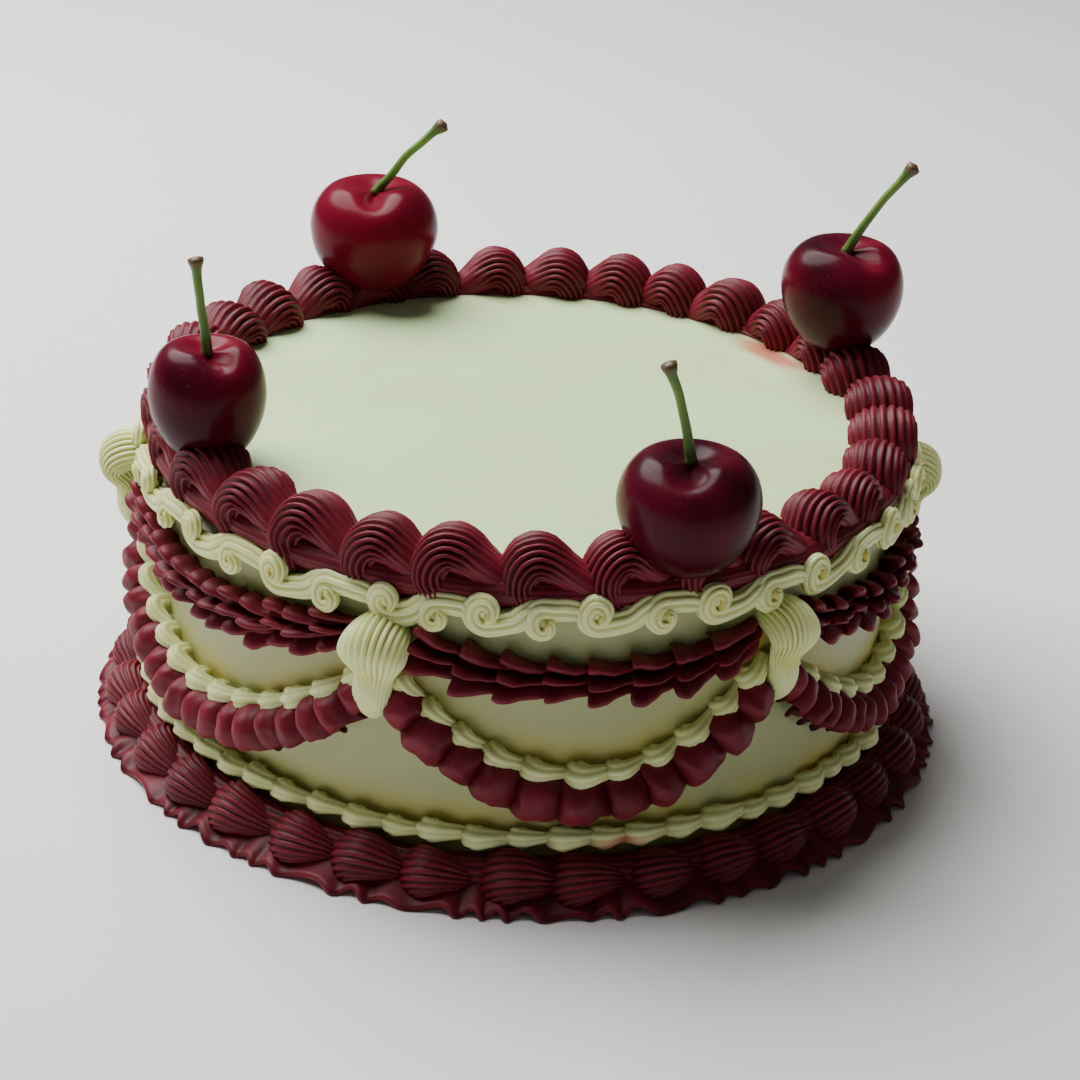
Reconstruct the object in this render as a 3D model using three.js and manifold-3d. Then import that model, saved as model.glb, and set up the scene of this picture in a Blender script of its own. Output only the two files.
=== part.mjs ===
// A whole round celebration cake: a solid iced drum dressed with piped icing, with cherries on its top edge.
// Millimetres, +Z up, origin at the middle of the underside.
// Angles run round the cake from the front (-Y) towards the right (+X).

import * as THREE from "three";
import { mergeVertices } from "three/addons/utils/BufferGeometryUtils.js";
import Module from "manifold-3d";

const wasm = await Module();
wasm.setup();

const { degToRad, lerp, clamp } = THREE.MathUtils;

// Driving dimensions of the drum.
const WALL_RADIUS = 80;
const CAKE_HEIGHT = 69.5;
const EDGE_ROUND = 3;
const DRUM_SIDES = 48;
const GAP = 0.3; // clearance between pieces that touch

// Fluted shells round the top and round the foot. Their tails point the way that angles run.
const TOP_SHELL = { count: 31, ring: 76.4, halfWidth: 7.9, height: 8.6, flutes: 3 };
const TOP_SWAY = { ring: 1.1, height: -1.6 }; // the border was piped further out and lower at the front
const TOP_HEM = { out: 2.8, drop: 3 }; // how far a shell hangs past the wall and below the top
const TOP_ROOT = { inset: 2.4, lift: 0.7 }; // where it leaves the rounded edge
const FOOT_SHELL = { count: 36, height: 5.2, halfHeight: 5.8, reach: 12.8, under: 0.6, flutes: 3 };
const SHELL_MARKS = [
  { at: 0, size: 0.52 },
  { at: 0.16, size: 0.92 },
  { at: 0.46, size: 1 },
]; // neck, head and belly along one shell
const FLUTE_DEPTH = 0.1; // share of a shell's size
const FOOT_FAN = degToRad(65); // half the angle that a foot shell fans out over
const HEAD_SKEW = 0.62; // below 1, a drop shell is fattest nearer its head

// Frill that lies flat under the foot shells.
const HEM = { waves: 76, inner: 3, crown: 7.5, crownHeight: 1.9, reach: 15, sway: 0.6, lift: 2.2 };

// Beaded line just above the foot shells.
const BEADS = { count: 62, height: 11.4, reach: 4.4, halfHeight: 2.6, waist: 0.6, tuck: 2.6 };

// Vine scroll round the top of the wall: a waving rope with a curl in each bend.
const SCROLL = { height: 61.2, sway: 2.2, rope: 1.9, reach: 4.4, steps: 2 };
const SEEN_CURLS = [-52.1, -34.8, -17.8, -4.6, 10.2, 26.7, 43.9, 63].map(degToRad); // as piped by hand
const HIDDEN_CURLS = 14; // evenly spaced round the back
const CURL = { radius: 3.6, reach: 5.6, upper: 2.4, lower: -2.6, sides: 4, rows: 2 };

// Drop shells on the wall, one at each join between two swags.
const DROP_ANGLES = [-86, -18.5, 38, 96, 155, 215].map(degToRad);
const DROP_HEIGHTS = [50.6, 47.5, 48.6, 50.4, 48, 48.4];
const DROP = { halfLength: 12.6, halfWidth: 6.8, reach: 11.2, flutes: 4, steps: 7, lobe: 0.52 };

// The three garlands that hang in each bay between two drop shells.
const UPPER_SWAG = { end: 54.6, sag: 5.8, ruffles: 9, fade: 0.62, inset: degToRad(5) };
const UPPER_FINS = [
  [GAP, -4.4],
  [6.2, -5],
  [3.8, -1.6],
  [7.8, 0.4],
  [6, 3.6],
  [GAP, 3.4],
];
const CREAM_SWAG = {
  end: 46.5,
  sag: 20.3,
  beads: 12,
  reach: 6.4,
  halfHeight: 2.7,
  waist: 0.62,
  inset: degToRad(2.2),
};
const LOWER_SWAG = { pleats: 12, top: -3.1, bottom: -10.4, topReach: 5, reach: 9.2, fade: 0.55 };
const SWAG_TAPER = 0.06; // share of a swag over which each end narrows

// Cherries on the top border, and the tip of each stalk from its cherry's middle.
const CHERRIES = [
  { angle: 23.3, ring: 78.5, middle: 80, width: 27.7, height: 24.9, tip: [-5.9, 0, 31] },
  { angle: 114.4, ring: 75, middle: 87.4, width: 27.2, height: 25.4, tip: [13.8, 0, 31.4] },
  { angle: 211.6, ring: 74.5, middle: 84.6, width: 29.7, height: 26, tip: [16.3, 0, 28.4] },
  { angle: -61.1, ring: 74.5, middle: 82.5, width: 23.8, height: 25.9, tip: [-2.5, 0, 31] },
];
const CHERRY = { sides: 12, steps: 8, dimple: 0.3, dimpleWidth: 0.42, crown: 0.81, shoulder: 0.06 };
const STALK = { radius: 1, foot: 0.8, knob: 1.8, knobStart: 0.86, sides: 6, steps: 6, bow: 0.12 };

// Finishes.
const cream = new THREE.MeshStandardMaterial({ color: 0xdfe3c6, roughness: 0.55, metalness: 0 });
const burgundy = new THREE.MeshStandardMaterial({ color: 0x571a24, roughness: 0.5, metalness: 0 });
const cherrySkin = new THREE.MeshStandardMaterial({ color: 0x3a0711, roughness: 0.15, metalness: 0 });
const stalkGreen = new THREE.MeshStandardMaterial({ color: 0x4c6b1e, roughness: 0.5, metalness: 0 });

// Points on the cake.

function ringPoint(angle, radius, height) {
  return new THREE.Vector3(radius * Math.sin(angle), -radius * Math.cos(angle), height);
}

function wallPoint(angle, height, [out, up]) {
  return ringPoint(angle, WALL_RADIUS + out, height + up);
}

// Closed carriers, with corners moved to where place(share, corner) says. Share runs 0 to 1 along the piece.

function cornerOf(side, rise, corners) {
  return ((Math.round((Math.atan2(rise, side) * corners) / (2 * Math.PI)) % corners) + corners) % corners;
}

function reshape(geometry, move) {
  const position = geometry.getAttribute("position");
  const v = new THREE.Vector3();
  for (let i = 0; i < position.count; i++) {
    const to = move(v.fromBufferAttribute(position, i));
    position.setXYZ(i, to.x, to.y, to.z);
  }
  return geometry;
}

// Closes to a point at both ends.
function podGeometry(corners, steps, place) {
  const carrier = new THREE.SphereGeometry(1, corners, steps, Math.PI);
  return reshape(carrier, (v) => {
    const share = 1 - Math.round((Math.acos(clamp(v.y, -1, 1)) * steps) / Math.PI) / steps;
    return place(share, cornerOf(v.x, v.z, corners));
  });
}

// Has a flat cap at both ends.
function barGeometry(corners, steps, place) {
  const carrier = new THREE.CylinderGeometry(1, 1, 1, corners, steps, false, Math.PI / 2);
  return reshape(carrier, (v) => {
    const share = Math.round((v.y + 0.5) * steps) / steps;
    if (Math.hypot(v.x, v.z) > 0.5) return place(share, cornerOf(v.x, v.z, corners));
    const middle = new THREE.Vector3();
    for (let k = 0; k < corners; k++) middle.addScaledVector(place(share, k), 1 / corners);
    return middle;
  });
}

// Runs round the cake and joins itself.
function hoopGeometry(corners, steps, place) {
  const bigRadius = 2;
  const carrier = new THREE.TorusGeometry(bigRadius, 1, corners, steps);
  return reshape(carrier, (v) => {
    const step = Math.round((Math.atan2(v.y, v.x) * steps) / (2 * Math.PI));
    return place((step + steps) % steps, cornerOf(Math.hypot(v.x, v.y) - bigRadius, v.z, corners));
  });
}

// Solids: geometry to manifold-3d and back.

function solidOf(geometry) {
  const bare = geometry.index ? geometry.toNonIndexed() : geometry.clone();
  bare.deleteAttribute("normal");
  bare.deleteAttribute("uv");
  const merged = mergeVertices(bare, 1e-3);
  return new wasm.Manifold(
    new wasm.Mesh({
      numProp: 3,
      vertProperties: new Float32Array(merged.attributes.position.array),
      triVerts: new Uint32Array(merged.index.array),
    }),
  );
}

function largestBody(solid) {
  return solid.decompose().reduce((best, body) => (body.volume() > best.volume() ? body : best));
}

function cut(solid, neighbours) {
  return largestBody(neighbours.reduce((rest, neighbour) => rest.subtract(neighbour), solid));
}

function fuse(solids) {
  return solids.reduce((whole, solid) => whole.add(solid));
}

function meshOf(name, solid, material) {
  const { vertProperties, triVerts } = solid.getMesh();
  const geometry = new THREE.BufferGeometry();
  geometry.setAttribute("position", new THREE.BufferAttribute(vertProperties, 3));
  geometry.setIndex(new THREE.BufferAttribute(triVerts, 1));
  geometry.computeVertexNormals();
  const mesh = new THREE.Mesh(geometry, material);
  mesh.name = name;
  return mesh;
}

// Outlines of the nozzles, as [out, up] corners in counterclockwise order.

// A fluted fan of half-angle fan about the direction facing, with one corner at its root.
function fanOutline(flutes, facing, fan) {
  const corners = [];
  for (let k = 0; k <= 2 * flutes; k++) {
    const turn = facing + lerp(-fan, fan, k / (2 * flutes));
    const size = k % 2 ? 1 : 1 - FLUTE_DEPTH;
    corners.push([size * Math.cos(turn), size * Math.sin(turn)]);
  }
  corners.push([0, 0]);
  return corners;
}

function beadOutline(reach, halfHeight, tuck) {
  return [
    [tuck, -halfHeight],
    [reach, 0.5],
    [GAP, halfHeight],
    [GAP, -halfHeight],
  ];
}

function shellSize(share) {
  return Math.sin(Math.PI * share ** HEAD_SKEW);
}

// The drum: sponge and smooth icing in one, with a softened top edge.

function drum() {
  const profile = new THREE.Path();
  profile.moveTo(0, 0);
  profile.lineTo(WALL_RADIUS, 0);
  profile.lineTo(WALL_RADIUS, CAKE_HEIGHT - EDGE_ROUND);
  profile.absarc(WALL_RADIUS - EDGE_ROUND, CAKE_HEIGHT - EDGE_ROUND, EDGE_ROUND, 0, Math.PI / 2, false);
  profile.lineTo(0, CAKE_HEIGHT);
  const arcPoints = 1;
  const lathe = new THREE.LatheGeometry(profile.getPoints(arcPoints), DRUM_SIDES);
  return solidOf(lathe.rotateX(Math.PI / 2));
}

// Shell borders: one fluted rope that narrows at each neck and swells quickly to the next head.

function shellRope(count, corners, place) {
  const marks = SHELL_MARKS.length;
  return solidOf(
    hoopGeometry(corners, count * marks, (step, k) => {
      const { at, size } = SHELL_MARKS[step % marks];
      const angle = (2 * Math.PI * (Math.floor(step / marks) + at)) / count;
      return place(angle, size, k);
    }),
  );
}

// Stands on the top, and its outer side hangs over the rounded edge.
function topBorder() {
  const { count, ring, halfWidth, height, flutes } = TOP_SHELL;
  const outline = fanOutline(flutes, Math.PI / 2, Math.PI / 2);
  const rootCorner = outline.length - 1;
  const base = CAKE_HEIGHT + GAP;
  return shellRope(count, outline.length, (angle, size, k) => {
    const front = Math.cos(angle);
    if (k === 0) return wallPoint(angle, CAKE_HEIGHT, [GAP + TOP_HEM.out * size, -TOP_HEM.drop * size]);
    if (k === rootCorner) return wallPoint(angle, CAKE_HEIGHT, [-TOP_ROOT.inset, TOP_ROOT.lift]);
    const [side, up] = outline[k];
    const tall = height + TOP_SWAY.height * front;
    const middle = ring + TOP_SWAY.ring * front;
    return ringPoint(angle, middle + side * halfWidth * size, base + Math.max(0, up) * tall * size);
  });
}

function footBorder() {
  const { count, height, halfHeight, reach, under, flutes } = FOOT_SHELL;
  const outline = fanOutline(flutes, 0, FOOT_FAN);
  return shellRope(count, outline.length, (angle, size, k) => {
    const [out, up] = outline[k];
    const rise = up < 0 ? up * under : up;
    return wallPoint(angle, height, [GAP + out * reach * size, rise * halfHeight * size]);
  });
}

// The frill: its edge rises and dips, and sways out where it dips.

function hemFrill() {
  const { waves, inner, crown, crownHeight, reach, sway, lift } = HEM;
  const steps = 2 * waves;
  const pitch = (2 * Math.PI) / steps;
  return solidOf(
    hoopGeometry(3, steps, (step, k) => {
      const raised = step % 2;
      const edge = [reach - raised * sway, raised * lift];
      const [out, height] = [edge, [crown, crownHeight], [inner, 0]][k];
      return ringPoint(step * pitch, WALL_RADIUS + out, height);
    }),
  );
}

function beadLine() {
  const { count, height, reach, halfHeight, waist, tuck } = BEADS;
  const steps = 2 * count;
  const pitch = (2 * Math.PI) / steps;
  return solidOf(
    hoopGeometry(4, steps, (step, k) => {
      const size = step % 2 ? waist : 1;
      const corner = beadOutline(reach * size, halfHeight * size, tuck * size)[k];
      return wallPoint(step * pitch, height, corner);
    }),
  );
}

// The vine scroll.

function curlAngles() {
  const last = SEEN_CURLS[SEEN_CURLS.length - 1];
  const pitch = (SEEN_CURLS[0] + 2 * Math.PI - last) / (HIDDEN_CURLS + 1);
  const hidden = Array.from({ length: HIDDEN_CURLS }, (_, i) => last + pitch * (i + 1));
  return [...SEEN_CURLS, ...hidden];
}

// Where the rope is, a share of the way from curl i to the next one: low at a curl, high midway.
function scrollSpot(angles, i, share) {
  const next = i + 1 < angles.length ? angles[i + 1] : angles[0] + 2 * Math.PI;
  const angle = lerp(angles[i], next, share);
  return { angle, height: SCROLL.height - SCROLL.sway * Math.cos(2 * Math.PI * share) };
}

function scroll() {
  const { rope, reach, steps } = SCROLL;
  const angles = curlAngles();
  const outline = beadOutline(reach, rope, reach * 0.7);
  const ropeSolid = solidOf(
    hoopGeometry(outline.length, angles.length * steps, (step, k) => {
      const spot = scrollSpot(angles, Math.floor(step / steps), (step % steps) / steps);
      return wallPoint(spot.angle, spot.height, outline[k]);
    }),
  );
  const curls = angles.flatMap((_, i) =>
    [CURL.upper, CURL.lower].map((rise, half) => {
      const spot = scrollSpot(angles, i, half / 2);
      return solidOf(curl(spot.angle, spot.height + rise));
    }),
  );
  return fuse([ropeSolid, ...curls]);
}

function curl(angle, height) {
  const { radius, reach, sides, rows } = CURL;
  return podGeometry(sides, rows, (share, k) => {
    const size = Math.sin(Math.PI * share);
    const turn = (2 * Math.PI * k) / sides;
    const along = lerp(-radius, radius, share);
    const out = Math.max(GAP, (reach * (1 + Math.cos(turn) * size)) / 2);
    return wallPoint(angle + along / WALL_RADIUS, height, [out, radius * Math.sin(turn) * size]);
  });
}

// Drop shells: a fluted fan above a small round tail.

function dropShell(angle, height, grow) {
  const { halfLength, halfWidth, reach, flutes, steps, lobe } = DROP;
  const outline = fanOutline(flutes, 0, Math.PI / 2);
  const fanShare = 0.74;
  const tailStart = 0.5;
  return solidOf(
    podGeometry(outline.length, steps, (share, k) => {
      const fan = share < fanShare ? shellSize(share / fanShare) : 0;
      const tail = share > tailStart ? lobe * Math.sin((Math.PI * (share - tailStart)) / (1 - tailStart)) : 0;
      const size = Math.max(fan, tail);
      const [out, side] = outline[k];
      const swell = share > 0 && share < 1 ? grow : 0;
      const across = side * (halfWidth * size + swell);
      const reached = GAP + out * (reach * size + swell);
      const down = lerp(-halfLength - grow, halfLength + grow, share);
      return ringPoint(angle + across / WALL_RADIUS, WALL_RADIUS + reached, height - down);
    }),
  );
}

// Garlands between two drop shells. Each hangs in a shallow curve from its ends, and lean is its slope.

function swagPath(from, to, end, sag) {
  const span = (to - from) * WALL_RADIUS;
  return (share) => ({
    angle: lerp(from, to, share),
    height: end - 4 * sag * share * (1 - share),
    lean: Math.atan((-4 * sag * (1 - 2 * share)) / span),
  });
}

function endTaper(share) {
  const inFromEnd = Math.min(share, 1 - share) / SWAG_TAPER;
  return lerp(0.6, 1, Math.min(1, inFromEnd));
}

// outlineAt(step, size) gives the corners at one step along the garland. None of it leaves its bay.
function garland(from, to, { end, sag, inset }, corners, steps, outlineAt) {
  const path = swagPath(from + inset, to - inset, end, sag);
  return solidOf(
    barGeometry(corners, steps, (share, k) => {
      const { angle, height, lean } = path(share);
      const [out, up] = outlineAt(Math.round(share * steps), endTaper(share))[k];
      const turned = clamp(angle - (up * Math.sin(lean)) / WALL_RADIUS, from + inset, to - inset);
      return ringPoint(turned, WALL_RADIUS + out, height + up * Math.cos(lean));
    }),
  );
}

function upperSwag(from, to) {
  const { ruffles, fade } = UPPER_SWAG;
  return garland(from, to, UPPER_SWAG, UPPER_FINS.length, 2 * ruffles, (step, taper) => {
    const size = taper * (step % 2 ? fade : 1);
    return UPPER_FINS.map(([out, up]) => [Math.max(GAP, out * size), up * lerp(size, taper, 0.6)]);
  });
}

function creamSwag(from, to) {
  const { beads, reach, halfHeight, waist } = CREAM_SWAG;
  return garland(from, to, CREAM_SWAG, 4, 2 * beads, (step, taper) => {
    const size = taper * (step % 2 ? 1 : waist);
    return beadOutline(reach * size, halfHeight * size, reach * 0.75 * size);
  });
}

function lowerSwag(from, to) {
  const { pleats, top, bottom, topReach, reach, fade } = LOWER_SWAG;
  return garland(from, to, CREAM_SWAG, 4, 2 * pleats, (step, taper) => {
    const size = taper * (step % 2 ? 1 : fade);
    return [
      [reach * size, bottom],
      [topReach * size, top],
      [GAP, top],
      [GAP, bottom],
    ];
  });
}

// Cherries: each is a group that stands on the border, with the fruit and its stalk inside it.

function cherryGeometry({ width, height }, grow) {
  const { sides, steps, dimple, dimpleWidth, crown, shoulder } = CHERRY;
  const fruit = new THREE.SphereGeometry(1, sides, steps).rotateX(Math.PI / 2);
  return reshape(fruit, (v) => {
    const fromTop = Math.acos(clamp(v.z, -1, 1));
    const hollow = dimple * Math.exp(-((fromTop / dimpleWidth) ** 2));
    const girth = (width / 2 + grow) * (1 + shoulder * v.z * Math.hypot(v.x, v.y));
    const rise = (v.z - hollow + 1) / (1 + crown) - 0.5;
    return new THREE.Vector3(v.x * girth, v.y * girth, rise * (height + 2 * grow));
  });
}

function stalkGeometry({ height, tip }) {
  const { radius, foot, knob, knobStart, sides, steps, bow } = STALK;
  const start = new THREE.Vector3(0, 0, height * ((2 - CHERRY.dimple) / (1 + CHERRY.crown) - 0.5) + foot);
  const end = new THREE.Vector3(...tip);
  const bend = start.clone().lerp(end, 0.5);
  bend.z += bow * start.distanceTo(end);
  const curve = new THREE.QuadraticBezierCurve3(start, bend, end);
  const { normals, binormals } = curve.computeFrenetFrames(steps, false);
  return barGeometry(sides, steps, (share, k) => {
    const step = Math.round(share * steps);
    const turn = (2 * Math.PI * k) / sides;
    const size = share > knobStart ? knob : radius;
    return curve
      .getPoint(share)
      .addScaledVector(binormals[step], size * Math.cos(turn))
      .addScaledVector(normals[step], size * Math.sin(turn));
  });
}

function cherryGroup(cherry) {
  const group = new THREE.Group();
  group.position.copy(ringPoint(degToRad(cherry.angle), cherry.ring, cherry.middle));
  group.updateMatrixWorld(true);
  return group;
}

// The whole cake.

const cake = new THREE.Group();
const cherryGroups = [];
const cherriesGrown = [];
const drops = DROP_ANGLES.map((angle, i) => dropShell(angle, DROP_HEIGHTS[i], 0));
const dropsGrown = DROP_ANGLES.map((angle, i) => dropShell(angle, DROP_HEIGHTS[i], GAP));

CHERRIES.forEach((cherry, i) => {
  const group = cherryGroup(cherry);
  group.add(meshOf(`cherry_${i + 1}`, solidOf(cherryGeometry(cherry, 0)), cherrySkin));
  group.add(meshOf(`stalk_${i + 1}`, solidOf(stalkGeometry(cherry)), stalkGreen));
  cherriesGrown.push(solidOf(cherryGeometry(cherry, GAP).applyMatrix4(group.matrixWorld)));
  cherryGroups.push(group);
});

cake.add(meshOf("cake_body", cut(drum(), cherriesGrown), cream));
cake.add(meshOf("top_border", cut(topBorder(), cherriesGrown), burgundy));
cake.add(...cherryGroups);
cake.add(meshOf("scroll_border", cut(scroll(), dropsGrown), cream));
cake.add(meshOf("bead_border", beadLine(), cream));
cake.add(meshOf("foot_border", footBorder(), burgundy));
cake.add(meshOf("foot_frill", hemFrill(), burgundy));

DROP_ANGLES.forEach((from, i) => {
  const next = (i + 1) % DROP_ANGLES.length;
  const to = next ? DROP_ANGLES[next] : DROP_ANGLES[0] + 2 * Math.PI;
  const ends = [dropsGrown[i], dropsGrown[next]];
  const bay = new THREE.Group();
  bay.add(meshOf(`drop_shell_${i + 1}`, drops[i], cream));
  bay.add(meshOf(`upper_swag_${i + 1}`, cut(upperSwag(from, to), ends), burgundy));
  bay.add(meshOf(`cream_swag_${i + 1}`, cut(creamSwag(from, to), ends), cream));
  bay.add(meshOf(`lower_swag_${i + 1}`, cut(lowerSwag(from, to), ends), burgundy));
  cake.add(bay);
});

export default cake;
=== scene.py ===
import bpy
import bmesh
import math
import random
from mathutils import Matrix, Vector, noise


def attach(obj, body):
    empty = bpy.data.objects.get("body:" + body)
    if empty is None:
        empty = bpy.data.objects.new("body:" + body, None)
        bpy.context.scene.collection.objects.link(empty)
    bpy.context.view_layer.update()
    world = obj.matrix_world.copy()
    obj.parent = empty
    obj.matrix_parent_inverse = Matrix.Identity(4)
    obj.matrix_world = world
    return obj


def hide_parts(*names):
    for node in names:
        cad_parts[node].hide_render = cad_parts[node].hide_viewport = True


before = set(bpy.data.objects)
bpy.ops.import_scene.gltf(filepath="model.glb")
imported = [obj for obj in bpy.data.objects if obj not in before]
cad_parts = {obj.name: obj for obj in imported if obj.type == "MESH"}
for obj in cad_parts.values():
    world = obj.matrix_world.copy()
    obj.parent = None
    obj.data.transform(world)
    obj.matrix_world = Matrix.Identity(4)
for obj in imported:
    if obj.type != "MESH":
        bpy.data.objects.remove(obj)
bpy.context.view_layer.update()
print("cake: frame loaded,", len(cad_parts), "nodes")

# pieces are modelled in millimetres and scaled once, in finishPiece
millimetre = 0.001
noise.seed_set(5)  # vector noise starts from the clock without it

# camera
view = {"place": (0.8, -527.4, 292.4), "turn": -0.29, "down": 25.74, "roll": 2.97,
        "lens": 88.04, "sensor": 36, "nearest": 0.01}


def makeCamera(view):
    data = bpy.data.cameras.new("viewCamera")
    data.sensor_width = view["sensor"]
    data.lens = view["lens"]
    data.clip_start = view["nearest"]
    camera = bpy.data.objects.new("viewCamera", data)
    bpy.context.scene.collection.objects.link(camera)
    turn = Matrix.Rotation(math.radians(view["turn"]), 4, "Z")
    tip = Matrix.Rotation(math.radians(90 - view["down"]), 4, "X")
    roll = Matrix.Rotation(math.radians(view["roll"]), 4, "Z")
    camera.matrix_world = Matrix.Translation(Vector(view["place"]) * millimetre) @ turn @ tip @ roll
    bpy.context.scene.camera = camera


makeCamera(view)


# sizes that several pieces share; the swag is the cream garland
cake = {
    "wallRadius": 80.0,
    "height": 69.5,
    "edgeRound": 3.0,
    "dropAngles": [-86, -18.5, 38, 96, 155, 215],
    "swagHeight": 46.5,
    "swagSag": 20.3,
}


# places on the cake: angles run from the front to the right

def clamp(share):
    return min(1, max(0, share))


def angleOf(place):
    return math.atan2(place.x, -place.y)


def aroundCake(angle, radius, height):
    return Vector((radius * math.sin(angle), -radius * math.cos(angle), height))


def standOn(angle, radius, height, slope=0.0, tilt=0.0):
    # x runs along the piping, z rises off the surface: tilt 0 rises outwards, 90 degrees rises upwards
    out = Vector((math.sin(angle), -math.cos(angle), 0))
    level = Vector((math.cos(angle), math.sin(angle), 0))
    up = Vector((0, 0, 1))
    along = level * math.cos(slope) + up * math.sin(slope)
    side = up * math.cos(slope) - level * math.sin(slope)
    rise = out * math.cos(tilt) + side * math.sin(tilt)
    across = rise.cross(along)
    turn = Matrix((along, across, rise)).transposed().to_4x4()
    return Matrix.Translation(aroundCake(angle, radius, height)) @ turn


def bays():
    drops = [math.radians(a) for a in cake["dropAngles"]]
    drops.append(drops[0] + 2 * math.pi)
    return list(zip(drops, drops[1:]))


def swagPath(start, end, endHeight, sag, radius, tilt=0.0):
    # a hanging curve on the wall, walked by length
    samples = 160
    shares = [i / samples for i in range(samples + 1)]

    def heightAt(share):
        return endHeight - 4 * sag * share * (1 - share)

    points = [aroundCake(start + (end - start) * s, radius, heightAt(s)) for s in shares]
    lengths = [0.0]
    for a, b in zip(points, points[1:]):
        lengths.append(lengths[-1] + (b - a).length)

    def frameAt(distance):
        walked = min(max(distance, 0.0), lengths[-1])
        i = 0
        while lengths[i + 1] < walked and i < samples - 1:
            i += 1
        share = shares[i] + (walked - lengths[i]) / (lengths[i + 1] - lengths[i]) / samples
        angle = start + (end - start) * share
        slope = math.atan2(-4 * sag * (1 - 2 * share), (end - start) * radius)
        return standOn(angle, radius, heightAt(share), slope, tilt)

    return frameAt, lengths[-1]


def aboveSwag(place):
    # distance above the curve of the cream garland, in the bay that the place is in
    angle = angleOf(place)
    spans = bays()
    while angle < spans[0][0]:
        angle += 2 * math.pi
    while angle >= spans[-1][1]:
        angle -= 2 * math.pi
    start, end = next(span for span in spans if angle <= span[1])
    share = (angle - start) / (end - start)
    sag = cake["swagSag"]
    slope = 4 * sag * (1 - 2 * share) / ((end - start) * cake["wallRadius"])
    return (place.z - cake["swagHeight"] + 4 * sag * share * (1 - share)) / math.hypot(1, slope)


def smoothRow(rows, share):
    # runs smoothly through the rows of a stroke
    spot = min(max(share, 0.0), 1.0) * (len(rows) - 1)
    i = min(int(spot), len(rows) - 2)
    t = spot - i
    before, a, b, after = rows[max(i - 1, 0)], rows[i], rows[i + 1], rows[min(i + 2, len(rows) - 1)]
    mixed = []
    for p, q, r, s in zip(before, a, b, after):
        squared = 2 * p - 5 * q + 4 * r - s
        cubed = 3 * q - p - 3 * r + s
        mixed.append(0.5 * (2 * q + (r - p) * t + squared * t * t + cubed * t ** 3))
    return mixed


# piping: a nozzle's ring is extruded from station to station

def starRing(bm, nozzle):
    paintedShade = bm.verts.layers.float.new("paintedShade")
    segments = nozzle["teeth"] * nozzle["perTooth"]
    ring = bmesh.ops.create_circle(bm, cap_ends=True, segments=segments, radius=1)["verts"]
    for v in ring:
        ridge = abs(math.sin(math.atan2(v.co.y, v.co.x) * nozzle["teeth"] / 2)) ** nozzle["crest"]
        v.co *= 1 - nozzle["depth"] * (1 - ridge)
        # the grooves between the ridges are marked for painted shade
        v[paintedShade] = 1 - ridge


def outlineRing(bm, outline):
    # corners are (across, rise, painted shade)
    paintedShade = bm.verts.layers.float.new("paintedShade")
    ring = bmesh.ops.create_circle(bm, cap_ends=True, segments=len(outline), radius=1)["verts"]
    ring.sort(key=lambda v: math.atan2(v.co.y, v.co.x) % (2 * math.pi))
    for v, (a, b, g) in zip(ring, outline):
        v.co = (a, b, 0)
        v[paintedShade] = g


def pipe(makeRing, shape, stations, softFrom=1.0):
    # past the share softFrom of its length the ridges melt away
    bm = bmesh.new()
    makeRing(bm, shape)
    bmesh.ops.transform(bm, matrix=stations[0], verts=bm.verts[:])
    edges = bm.edges[:]
    tip = bm.verts[:]
    rings = [tip]
    for before, after in zip(stations, stations[1:]):
        grown = bmesh.ops.extrude_edge_only(bm, edges=edges)["geom"]
        tip = [g for g in grown if isinstance(g, bmesh.types.BMVert)]
        edges = [g for g in grown if isinstance(g, bmesh.types.BMEdge)]
        bmesh.ops.transform(bm, matrix=after @ before.inverted(), verts=tip)
        rings.append(tip)
    meltRidges(bm, rings[round(softFrom * len(rings)):-1])
    bmesh.ops.pointmerge(bm, verts=tip, merge_co=stations[-1].translation)
    bmesh.ops.recalc_face_normals(bm, faces=bm.faces[:])
    return bm


melt = {"passes": 9, "fadeRings": 6, "faintest": 0.15, "pull": 0.5}


def meltRidges(bm, rings):
    paintedShade = bm.verts.layers.float["paintedShade"]
    # the painted shade in the grooves fades where the ridges melt
    for k, ring in enumerate(rings):
        for v in ring:
            v[paintedShade] *= max(melt["faintest"], 1 - (k + 1) / melt["fadeRings"])
    for k in range(melt["passes"] if rings else 0):
        soft = [v for ring in rings[k * melt["fadeRings"] // melt["passes"]:] for v in ring]
        bmesh.ops.smooth_vert(bm, verts=soft, factor=melt["pull"],
                              use_axis_x=True, use_axis_y=True, use_axis_z=True)


def strokeStations(rows, p, size, frameAt):
    # rows are (x, z, heading, thick, wide) along a stroke that rises off the surface and is pulled away
    long, tall, wide = p["long"] * size, p["tall"] * size, p["wide"] * size
    stations = []
    for i in range(p["steps"] + 1):
        x, z, heading, thick, width = smoothRow(rows, i / p["steps"])
        turn = math.radians(heading)
        c, s = math.cos(turn), math.sin(turn)
        thick *= tall * c * c + long * s * s
        local = Matrix(((0, -s * thick, c, 0), (width * wide, 0, 0, 0),
                        (0, c * thick, s, z * tall), (0, 0, 0, 1)))
        stations.append(frameAt(x * long) @ local)
    return stations


def gather(whole, part):
    # adds one small bmesh to a piece's bmesh
    mesh = bpy.data.meshes.new("part")
    part.to_mesh(mesh)
    part.free()
    whole.from_mesh(mesh)
    bpy.data.meshes.remove(mesh)


def unevenness(bm, waves, number=0):
    # a hand is never quite steady: waves are (reach, size, seed)
    for reach, size, seed in waves:
        seed += number
        shift = Vector((seed * 7.3, seed * 3.1, seed * 5.7))
        for v in bm.verts:
            v.co += noise.noise_vector(v.co * size + shift) * reach


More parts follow.
